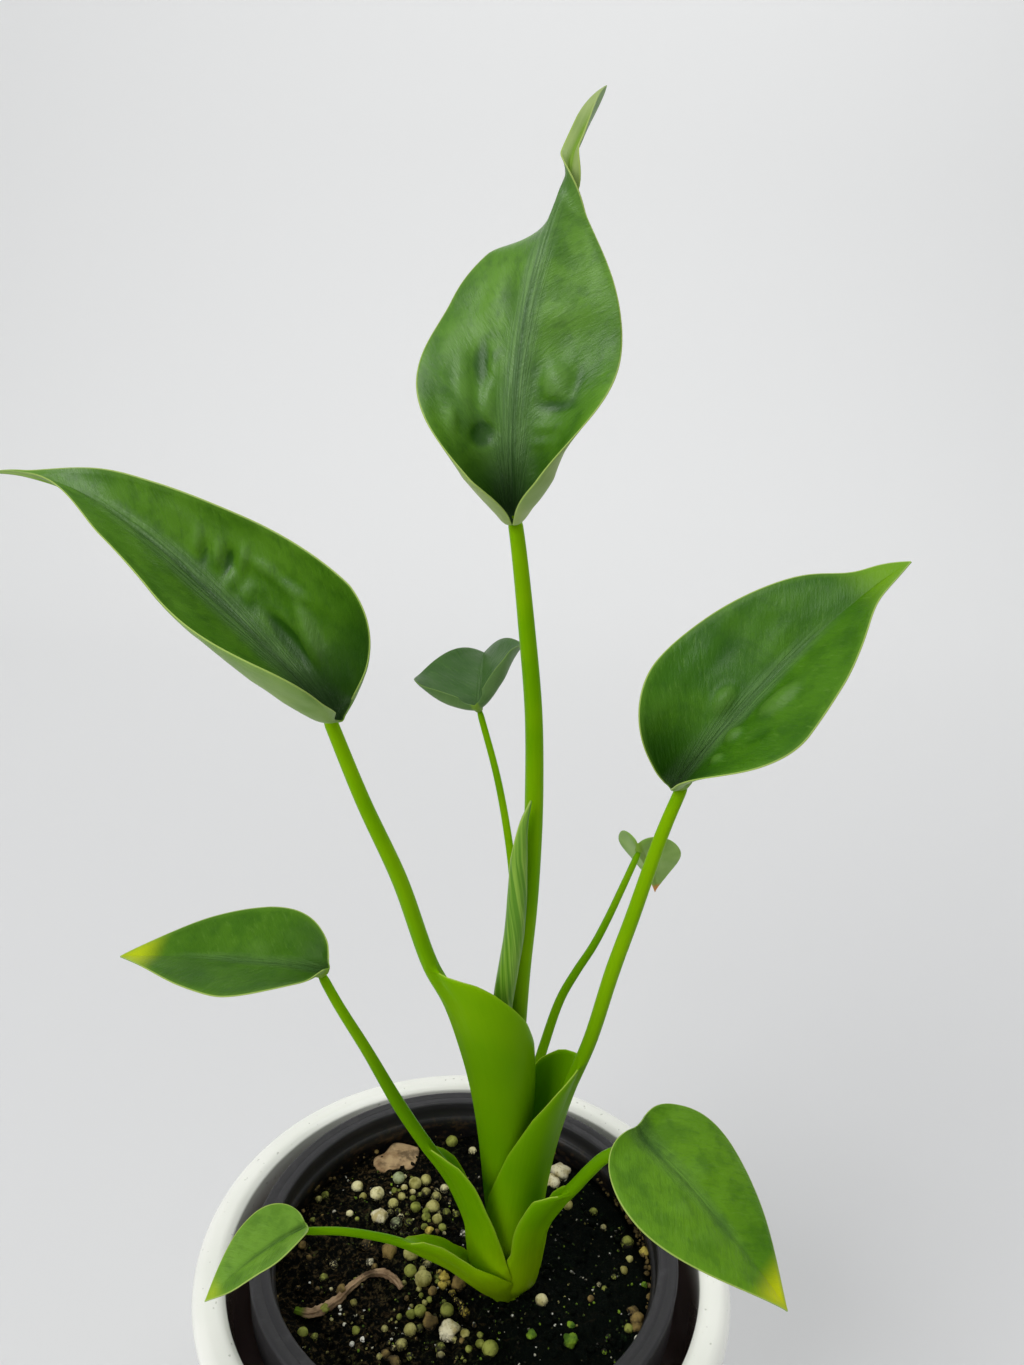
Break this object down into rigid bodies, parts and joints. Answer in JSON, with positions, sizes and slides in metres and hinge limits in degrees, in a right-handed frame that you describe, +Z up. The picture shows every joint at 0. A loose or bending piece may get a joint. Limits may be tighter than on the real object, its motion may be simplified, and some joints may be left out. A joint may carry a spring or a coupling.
{
  "type": "potted tiny dancer alocasia",
  "caption": "Small potted aroid with cupped, pointed leaves on upright sheathed stalks, in a black nursery pot standing loose in a white glazed pot.",
  "frame": {"origin": "middle of the white pot's underside, on the surface that it stands on", "axes": "+Z up along the pots' axis, +X to the viewer's right in the picture, +Y away from the viewer"},
  "size_m": [0.1777, 0.147, 0.3489],
  "materials": {
    "glaze": "gloss",
    "black_plastic": "satin",
    "potting_mix": "matte",
    "corm": "matte",
    "dry_plant": "matte",
    "leaf": "satin",
    "young_leaf": "satin",
    "stalk": "satin"
  },
  "bodies": {
    "root": {"white_pot": "glaze", "black_nursery_pot": "black_plastic", "soil": "potting_mix", "corm": "corm", "dry_stalk_scrap": "dry_plant", "dry_leaf_scrap": "dry_plant", "leaf_9_furled": "young_leaf", "leaf_1_tall_blade": "leaf", "leaf_1_tall_stalk": "stalk", "leaf_2_left_blade": "leaf", "leaf_2_left_stalk": "stalk", "leaf_3_right_blade": "leaf", "leaf_3_right_stalk": "stalk", "leaf_4_back_blade": "leaf", "leaf_4_back_stalk": "stalk", "leaf_5_back_small_blade": "leaf", "leaf_5_back_small_stalk": "stalk", "leaf_6_low_left_blade": "leaf", "leaf_6_low_left_stalk": "stalk", "leaf_7_lowest_blade": "leaf", "leaf_7_lowest_stalk": "stalk", "leaf_8_low_right_blade": "leaf", "leaf_8_low_right_stalk": "stalk"}
  },
  "joints": []
}
